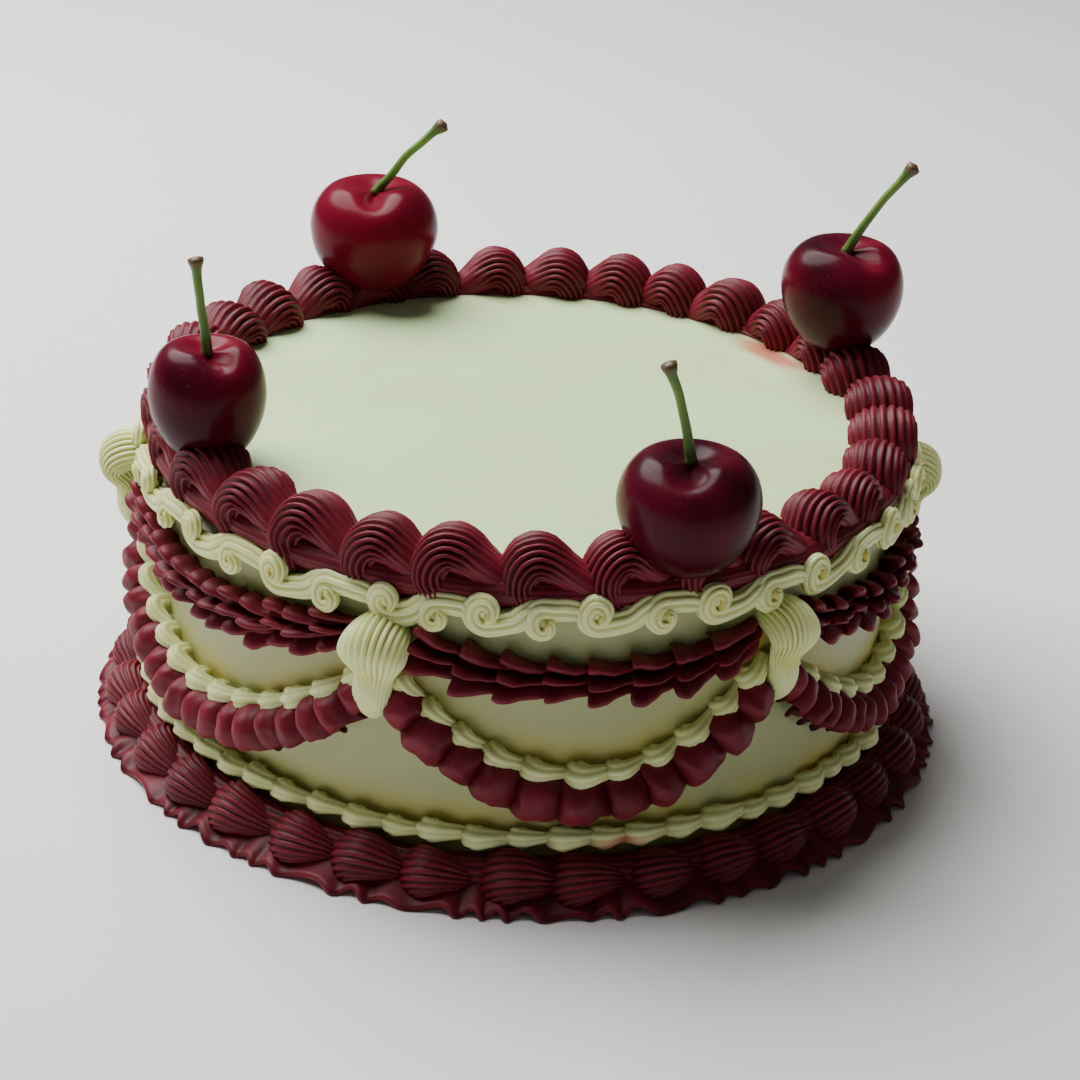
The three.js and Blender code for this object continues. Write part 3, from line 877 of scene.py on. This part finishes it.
def makeScroll(p):
    rng = random.Random(p["seed"])
    stray, heart, rope = p["stray"], p["heart"], p["rope"]
    whole = bmesh.new()
    curls = [math.radians(a) for a in p["curls"]]
    gap = (curls[0] + 2 * math.pi - curls[-1]) / (p["hidden"] + 1)
    curls += [curls[-1] + gap * k for k in range(1, p["hidden"] + 1)]
    for i, start in enumerate(curls):
        pitch = ((curls[(i + 1) % len(curls)] - start) % (2 * math.pi)) * p["walk"]
        size = rng.uniform(*stray["size"])
        middle = pitch * 0.5 + rng.uniform(-stray["middle"], stray["middle"])
        under = middle + 0.4
        # the rope starts in a snail, swings under it and climbs to a crest
        rising = snail(p["rising"], 0, rng.uniform(-stray["turn"], stray["turn"]), size, rope)
        rising += [(2.4, -2.1, 2.0, rope * 1.05), (pitch * 0.27, -1.3, 2.0, rope * 1.05),
                   (pitch * 0.36, 0.2, 1.9, rope), (pitch * 0.44, 1.4, 1.6, rope * 0.9),
                   (pitch * 0.52, 1.9, 1.2, rope * 0.7), (pitch * 0.60, 1.8, 0.6, rope * 0.4)]
        # a second rope starts in a smaller snail under the crest and falls to the next one
        falling = snail(p["falling"], under, rng.uniform(-stray["turn"], stray["turn"]), size, rope)
        falling += [(middle + 2.8, 1.5, 2.0, rope), (pitch * 0.70, 1.4, 1.9, rope),
                    (pitch * 0.80, 0.9, 1.7, rope * 0.95), (pitch - 3.4, 0.0, 1.2, rope * 0.8),
                    (pitch - 2.0, -0.5, 0.7, rope * 0.5)]
        ropes = ((rising, 0, p["rising"]["eye"]), (falling, under, p["falling"]["eye"]))
        for rows, eyeAlong, eyeRise in ropes:
            points = [tuple(smoothRow(rows, k / p["rows"])) for k in range(p["rows"] + 1)]
            part = pipe(starRing, p["nozzle"], ropeStations(points, p, start))
            # each snail's eye is tinted yellower
            butterBleedAndShade = part.verts.layers.float.new("butterBleedAndShade")
            for v in part.verts:
                turn = (angleOf(v.co) - start + math.pi) % (2 * math.pi) - math.pi
                above = v.co.z - scrollLevel(p, start + turn) - eyeRise
                reach = math.hypot(turn * p["walk"] - eyeAlong, above)
                v[butterBleedAndShade] = heart["tint"] * math.exp(-(reach / heart["spread"]) ** 2)
            place = aroundCake(start + eyeAlong / p["walk"], p["radius"] + heart["out"],
                               scrollLevel(p, start) + eyeRise)
            bmesh.ops.create_uvsphere(part, u_segments=14, v_segments=9, radius=heart["radius"],
                                      matrix=Matrix.Translation(place))
            gather(whole, part)
    unevenness(whole, p["uneven"])
    finishPiece(whole, "vineScroll", cream, "cream_icing", "scroll_border")


makeScroll(scroll)


# drop shells at the joins of the garlands, one value a shell in each list

dropShells = {"origin": [56.4, 53.3, 54.4, 56.2, 53.8, 54.2],
              "lean": [0.02, 0.09, -0.03, -0.04, 0.05, -0.02],
              "radius": [81.5, 80.0, 80.0, 80.6, 80.4, 80.2],
              "wide": [1.0, 1.0, 0.82, 1.0, 0.95, 1.0], "bow": 0.035, "steps": 42, "softFrom": 0.5,
              # painted shade: the dent at the waist is tinted olive-yellow
              "waist": {"at": (6.0, 0, 6.0), "spread": 2.8, "tint": 0.85},
              "nozzle": {"teeth": 28, "perTooth": 5, "depth": 0.23, "crest": 0.75},
              "uneven": [(0.3, 0.12, 2)]}


def straight(x):
    return Matrix.Translation((x, 0, 0))


def makeDrops(p):
    waist = p["waist"]
    for i, degrees in enumerate(cake["dropAngles"]):
        lean = p["lean"][i]
        angle = math.radians(degrees)

        def frameAt(x):
            # the stroke runs down the wall
            return standOn(angle - x * lean / cake["wallRadius"], p["radius"][i], p["origin"][i] - x,
                           -math.pi / 2 - lean, 0)

        sizes = {"long": 1, "tall": 1, "wide": p["wide"][i], "steps": p["steps"]}
        bm = pipe(starRing, p["nozzle"], strokeStations(dropStroke, sizes, 1, straight), p["softFrom"])
        # painted shade in the dent at the waist
        butterBleedAndShade = bm.verts.layers.float.new("butterBleedAndShade")
        for v in bm.verts:
            fromWaist = (v.co - Vector(waist["at"])).length
            v[butterBleedAndShade] = waist["tint"] * math.exp(-(fromWaist / waist["spread"]) ** 2)
            along = v.co.x + p["bow"] * v.co.y ** 2
            v.co = frameAt(along) @ Vector((0, v.co.y, v.co.z))
        bmesh.ops.recalc_face_normals(bm, faces=bm.faces[:])
        unevenness(bm, p["uneven"], i)
        finishPiece(bm, f"dropShell{i + 1}", cream, "cream_icing", f"drop_shell_{i + 1}")


makeDrops(dropShells)


# burgundy garland frill, one value a bay in each list

upperSwag = {"endHeight": 55.9, "sag": 7.1, "pitch": [6.0, 8.3, 6.6, 7.2, 7.2, 7.2], "steps": 22,
             "insets": [(9, 5), (5, 5), (5, 9), (9, 6), (6, 6), (6, 8)], "start": 0.22,
             "stray": {"place": 0.12, "grow": (0.84, 1.1), "taller": (0.86, 1.1), "roll": 0.2},
             # (out, up, painted shade) of the three lobes, from the middle one round, with their height and
             # middle
             "outline": [(5.9, 0.0, 0), (5.2, 0.8, 0.1), (1.9, 0.6, 1), (1.9, 1.7, 1), (4.3, 2.2, 0.2),
                         (5.1, 3.2, 0), (4.4, 4.3, 0.1), (2.0, 4.2, 0.3), (-0.8, 3.6, 0.5), (-0.8, -3.4, 0.5),
                         (1.6, -4.8, 0.3), (3.3, -5.4, 0.1), (4.7, -5.0, 0), (4.5, -3.6, 0.2), (1.9, -2.1, 1),
                         (1.8, -1.0, 1), (5.1, -0.8, 0.1)],
             "outlineTall": 9.7, "outlineMiddle": 0.55,
             # (along, out, reach, top, bottom, lean) of one push of the bag
             "push": [(1.4, -1.4, 0.45, 1.6, -3.0, -0.08), (0.0, -0.7, 0.80, 3.0, -5.0, -0.14),
                      (-1.2, 0.0, 1.02, 4.0, -5.9, -0.20), (-0.9, 0.5, 1.16, 4.4, -6.2, -0.16),
                      (0.6, 0.5, 1.14, 4.0, -6.2, -0.06), (2.0, 0.2, 1.02, 2.9, -5.9, 0.02),
                      (3.4, 0.0, 0.90, 2.2, -5.5, 0.06), (5.0, -0.2, 0.82, 2.0, -5.2, 0.08),
                      (6.8, -0.4, 0.76, 1.8, -4.9, 0.10), (8.8, -1.0, 0.66, 1.6, -4.5, 0.10),
                      (10.2, -2.2, 0.48, 1.0, -3.8, 0.10)],
             "uneven": [(0.5, 0.22, 9), (0.4, 0.5, 90)], "seed": 53}


def makeUpperSwags(p):
    rng = random.Random(p["seed"])
    stray = p["stray"]
    for i, (start, end) in enumerate(bays()):
        first, last = (math.radians(a) for a in p["insets"][i])
        path, length = swagPath(start, end, p["endHeight"], p["sag"], cake["wallRadius"])
        margin = first / (end - start) * length
        length -= margin + last / (end - start) * length
        count = round(length / p["pitch"][i])
        whole = bmesh.new()
        for k in range(count):
            begin = margin + (k + p["start"] + rng.uniform(-stray["place"], stray["place"])) * length / count
            grow = rng.uniform(*stray["grow"])
            taller = rng.uniform(*stray["taller"])
            roll = rng.uniform(-stray["roll"], stray["roll"])
            stations = []
            for step in range(p["steps"] + 1):
                along, out, reach, top, bottom, lean = smoothRow(p["push"], step / p["steps"])
                tall = (top - bottom) / p["outlineTall"]
                level = (top + bottom) / 2 + p["outlineMiddle"] * tall
                local = Matrix(((lean * grow, 0, 1, 0), (roll * reach, tall * taller, 0, level * taller),
                                (reach * grow, 0, 0, out), (0, 0, 0, 1)))
                stations.append(path(begin + along) @ local)
            gather(whole, pipe(outlineRing, p["outline"], stations))
        unevenness(whole, p["uneven"], i)
        finishPiece(whole, f"upperSwag{i + 1}", burgundy, "burgundy_icing", f"upper_swag_{i + 1}", soften=1)


makeUpperSwags(upperSwag)


# cream garland of small shells, pink where it meets the pleats below it

creamSwag = {"radius": 80.2, "pitch": 8.0, "inset": 1.0, "tilt": 10, "start": 0.4,
             "long": 1.0, "tall": 1.05, "wide": 0.82, "steps": 18,
             "nozzle": {"teeth": 7, "perTooth": 5, "depth": 0.22, "crest": 0.75},
             "stray": {"place": 0.08, "size": (0.9, 1.1)}, "pink": {"from": 0.9, "fade": 1.6, "share": 0.5},
             "uneven": [(0.3, 0.16, 17)], "seed": 61}


def makeCreamSwags(p):
    rng = random.Random(p["seed"])
    stray, pink = p["stray"], p["pink"]
    inset = math.radians(p["inset"])
    for i, (start, end) in enumerate(bays()):
        path, length = swagPath(start + inset, end - inset, cake["swagHeight"], cake["swagSag"], p["radius"],
                                math.radians(p["tilt"]))
        count = round(length / p["pitch"])
        whole = bmesh.new()
        for k in range(count):
            begin = (k + p["start"] + rng.uniform(-stray["place"], stray["place"])) * length / count
            size = rng.uniform(*stray["size"])

            def frameAt(x):
                return path(begin + x)

            gather(whole, pipe(starRing, p["nozzle"], strokeStations(beadStroke, p, size, frameAt)))
        bleed = whole.verts.layers.float.new("bleed")
        for v in whole.verts:
            below = -aboveSwag(v.co)
            patch = clamp(noise.noise(v.co * 0.09 + Vector((i, 2, 5))) * 1.8 + 0.35)
            v[bleed] = pink["share"] * patch * clamp((below - pink["from"]) / pink["fade"])
        unevenness(whole, p["uneven"], i)
        finishPiece(whole, f"creamSwag{i + 1}", cream, "cream_icing", f"cream_swag_{i + 1}")


makeCreamSwags(creamSwag)


# burgundy pleated garland under the cream one, one value a bay in each list

lowerSwag = {"pitch": [5.2, 7.2, 4.9, 6.0, 6.0, 6.0], "perPleat": 18, "rows": 8, "under": 1.5, "inset": 3.6,
             "top": -1.4, "hem": -8.8, "thick": 1.2, "topOut": 3.2, "topFold": 2.2,
             "hemOut": 4.0, "hemFold": 3.1, "lean": 0.2, "bow": 0.9, "tuckIn": 1.3, "foldDrop": 0.7,
             "head": {"out": 0.4, "up": 0.8},
             "crest": [0.40, 0.34, 0.46, 0.4, 0.36, 0.4], "flat": [0.8, 0.72, 1.1, 0.85, 0.8, 0.85],
             # each pleat has its own place, height and reach, and the ends are shorter
             "wander": 0.22, "ownTall": 0.16, "ownOut": 0.5, "ends": 9, "endTall": 0.55, "swellTall": 0.45,
             "uneven": [(0.7, 0.25, 29), (0.4, 0.6, 37)]}


def pleat(share, crest, flat):
    # a fold swells to its crest and tucks in behind the next one
    swell = math.sin(math.pi / 2 * min(1, share / crest))
    tuck = math.sin(math.pi / 2 * min(1, (1 - share) / (1 - crest)))
    return 2 * (swell * tuck) ** flat - 1


def makeLowerSwags(p):
    inset = math.radians(p["inset"])
    for i, (start, end) in enumerate(bays()):
        path, length = swagPath(start + inset, end - inset, cake["swagHeight"] - p["under"],
                                cake["swagSag"] - p["under"], cake["wallRadius"])
        count = round(length / p["pitch"][i])
        bm = bmesh.new()
        paintedShade = bm.verts.layers.float.new("paintedShade")
        bmesh.ops.create_grid(bm, x_segments=count * p["perPleat"], y_segments=p["rows"], size=0.5)
        for v in bm.verts:
            share, down = v.co.x + 0.5, v.co.y + 0.5
            spot = share * count + p["wander"] * noise.noise(Vector((share * count * 0.7, i * 4.0, 0)))
            fold = pleat(spot % 1, p["crest"][i], p["flat"][i])
            edge = min(1, p["ends"] * share, p["ends"] * (1 - share)) ** 0.5
            own = noise.noise(Vector((math.floor(spot) * 3.7, i * 7.0, 3)))
            tall = 1 + p["ownTall"] * own
            reach = (p["topFold"] + (p["hemFold"] - p["topFold"]) * down) * edge
            bow = p["bow"] * math.sin(math.pi * down) - p["tuckIn"] * down ** 5
            out = p["topOut"] + (p["hemOut"] - p["topOut"]) * down + fold * reach + bow + p["ownOut"] * own
            fall = (p["hem"] - p["top"]) * down * tall * (p["endTall"] + p["swellTall"] * edge)
            drop = p["top"] + fall + p["foldDrop"] * fold * down
            if down < 0.01:
                out, drop = p["head"]["out"], p["top"] + p["head"]["up"]
            shift = -p["lean"] * fold * reach
            # painted shade in the tucks between the pleats
            v[paintedShade] = max(0, 0.5 - 0.5 * fold)
            v.co = path(share * length + shift) @ Vector((0, drop, out))
        bmesh.ops.recalc_face_normals(bm, faces=bm.faces[:])
        bmesh.ops.solidify(bm, geom=bm.faces[:], thickness=p["thick"])
        unevenness(bm, p["uneven"], i)
        finishPiece(bm, f"lowerSwag{i + 1}", burgundy, "burgundy_icing", f"lower_swag_{i + 1}", soften=1)


makeLowerSwags(lowerSwag)


# cherries: front right, back right, back left and left, with the stalk's tip from the fruit's middle

cherries = [
    {"angle": 23.3, "ring": 78.5, "middle": 80.0, "width": 27.7, "height": 24.9,
     "tip": (-5.9, 0, 31.0), "ripe": 0.0, "seam": -0.1},
    {"angle": 114.4, "ring": 75, "middle": 87.4, "width": 27.2, "height": 25.4,
     "tip": (13.8, 0, 31.4), "ripe": 0.1, "seam": 0.7},
    {"angle": 211.6, "ring": 74.5, "middle": 84.6, "width": 29.7, "height": 26.0,
     "tip": (16.3, 0, 28.4), "ripe": 0.65, "seam": 0.1},
    {"angle": -61.1, "ring": 74.5, "middle": 82.5, "width": 23.8, "height": 25.9,
     "tip": (-2.5, 0, 31.0), "ripe": 0.05, "seam": 0.5},
]

# shares of a ball of radius 1; below the middle the skin gets painted shade
fruit = {"segments": 64, "rings": 44, "dimple": 0.34, "dimpleWidth": 0.45, "crown": 0.79, "shoulder": 0.09,
         "notch": 0.20, "notchAt": 0.5, "notchLong": 0.4, "notchWide": 0.5,
         "ripeSpread": 0.35, "ripeSize": 1.3,
         "lowerShade": {"from": 0.3, "fade": 0.8, "share": 0.85}, "uneven": [(0.35, 0.08, 50)]}


def makeCherry(number, c, p):
    bm = bmesh.new()
    ripe = bm.verts.layers.float.new("ripe")
    lowerShade = bm.verts.layers.float.new("lowerShade")
    bmesh.ops.create_uvsphere(bm, u_segments=p["segments"], v_segments=p["rings"], radius=1)
    middle = aroundCake(math.radians(c["angle"]), c["ring"], c["middle"])
    for v in bm.verts:
        fromTop = math.acos(min(1, max(-1, v.co.z)))
        hollow = p["dimple"] * math.exp(-(fromTop / p["dimpleWidth"]) ** 2)
        acrossNotch = abs(angleOf(v.co) - c["seam"]) / p["notchWide"]
        alongNotch = (fromTop - p["notchAt"]) / p["notchLong"]
        hollow += p["notch"] * math.exp(-acrossNotch ** 2 - alongNotch ** 2)
        girth = c["width"] / 2 * (1 + p["shoulder"] * v.co.z * math.hypot(v.co.x, v.co.y))
        rise = (v.co.z - hollow + 1) / (1 + p["crown"]) - 0.5
        patch = noise.noise(v.co * p["ripeSize"] + Vector((number * 5, 0, 0)))
        v[ripe] = clamp(c["ripe"] + p["ripeSpread"] * patch)
        # painted shade on the lower half of the fruit
        low = clamp((p["lowerShade"]["from"] - v.co.z) / p["lowerShade"]["fade"])
        v[lowerShade] = p["lowerShade"]["share"] * (1 - c["ripe"]) * low
        v.co = Vector((v.co.x * girth, v.co.y * girth, rise * c["height"])) + middle
    unevenness(bm, p["uneven"], number)
    finishPiece(bm, f"cherry{number}", cherrySkin, "cherry_skin", f"cherry_{number}")


# girth rows are (share of the length, share of the radius), with the knob at the end
stalk = {"radius": 1.0, "foot": 0.8, "sunk": 1.2, "steps": 30, "bow": 0.12, "wiggle": 0.5,
         "girth": [(0, 1.35), (0.05, 1.15), (0.2, 1.0), (0.5, 0.92), (0.75, 0.98), (0.84, 1.1),
                   (0.90, 1.5), (0.95, 1.75), (0.98, 1.55), (1.0, 1.0)],
         "nozzle": {"teeth": 5, "perTooth": 4, "depth": 0.06, "crest": 1.0}}


def makeStalk(number, c, p):
    middle = aroundCake(math.radians(c["angle"]), c["ring"], c["middle"])
    hollow = c["height"] * ((2 - fruit["dimple"]) / (1 + fruit["crown"]) - 0.5)
    begin = Vector((0, 0, hollow + p["foot"] - p["sunk"]))
    end = Vector(c["tip"])
    bend = begin.lerp(end, 0.5) + Vector((0, 0, p["bow"] * (end - begin).length))
    stations = []
    for k in range(p["steps"] + 1):
        t = k / p["steps"]
        place = begin * (1 - t) ** 2 + bend * 2 * t * (1 - t) + end * t * t
        ahead = ((bend - begin) * (1 - t) + (end - bend) * t).normalized()
        across = Vector((0, 1, 0)).cross(ahead).normalized()
        rise = ahead.cross(across)
        for (a, low), (b, high) in zip(p["girth"], p["girth"][1:]):
            if a <= t <= b:
                thick = p["radius"] * (low + (high - low) * (t - a) / (b - a))
        wiggle = noise.noise_vector(Vector((t * 3.0, number * 2.0, 0))) * p["wiggle"]
        turn = Matrix((across * thick, rise * thick, ahead)).transposed().to_4x4()
        stations.append(Matrix.Translation(middle + place + wiggle) @ turn)
    bm = pipe(starRing, p["nozzle"], stations)
    grown = bm.verts.layers.float.new("grown")
    low, high = middle + begin, middle + end
    for v in bm.verts:
        v[grown] = clamp((v.co - low).dot(high - low) / (high - low).length_squared)
    finishPiece(bm, f"stalk{number}", stalkSkin, "cherry_stalk", f"stalk_{number}")


for number, cherry in enumerate(cherries, 1):
    makeCherry(number, cherry, fruit)
    makeStalk(number, cherry, stalk)


# floor and light, in metres

studio = {"floor": (0.93, 0.93, 0.92), "floorSize": 6, "floorShade": 0.97, "floorRoughness": 0.8,
          "aim": (0, 0, 0.05), "ambient": 0.10,
          "panels": {"skyPanel": {"place": (-0.38, 0.32, 0.82), "size": 0.95, "power": 21.5},
                     "fillPanel": {"place": (-0.5, -0.7, 0.5), "size": 0.8, "power": 0.05}}}


def makeFloor(p):
    bm = bmesh.new()
    bmesh.ops.create_grid(bm, x_segments=2, y_segments=2, size=p["floorSize"])
    mesh = bpy.data.meshes.new("floor")
    bm.to_mesh(mesh)
    bm.free()
    floor = bpy.data.objects.new("floor", mesh)
    bpy.context.scene.collection.objects.link(floor)
    material, nodes, links, shader = startFinish("floorPaper")
    grain = noiseNode(nodes, links, 6, 3)
    shade = tuple(c * p["floorShade"] for c in p["floor"])
    tone = rampNode(nodes, links, grain.outputs["Fac"], [(0.3, shade), (0.7, p["floor"])])
    links.new(tone.outputs["Color"], shader.inputs["Base Color"])
    shader.inputs["Roughness"].default_value = p["floorRoughness"]
    mesh.materials.append(material)


def makeLight(p):
    for name, panel in p["panels"].items():
        data = bpy.data.lights.new(name, "AREA")
        data.shape = "DISK"
        data.size = panel["size"]
        data.energy = panel["power"]
        light = bpy.data.objects.new(name, data)
        light.location = panel["place"]
        aim = Vector(p["aim"]) - Vector(panel["place"])
        light.rotation_euler = aim.to_track_quat("-Z", "Y").to_euler()
        bpy.context.scene.collection.objects.link(light)
    world = bpy.data.worlds.new("studio")
    bpy.context.scene.world = world
    world.use_nodes = True
    back = next(n for n in world.node_tree.nodes if n.type == "BACKGROUND")
    back.inputs["Color"].default_value = (1, 1, 1, 1)
    back.inputs["Strength"].default_value = p["ambient"]


makeFloor(studio)
makeLight(studio)
print("cake: floor and light ready")
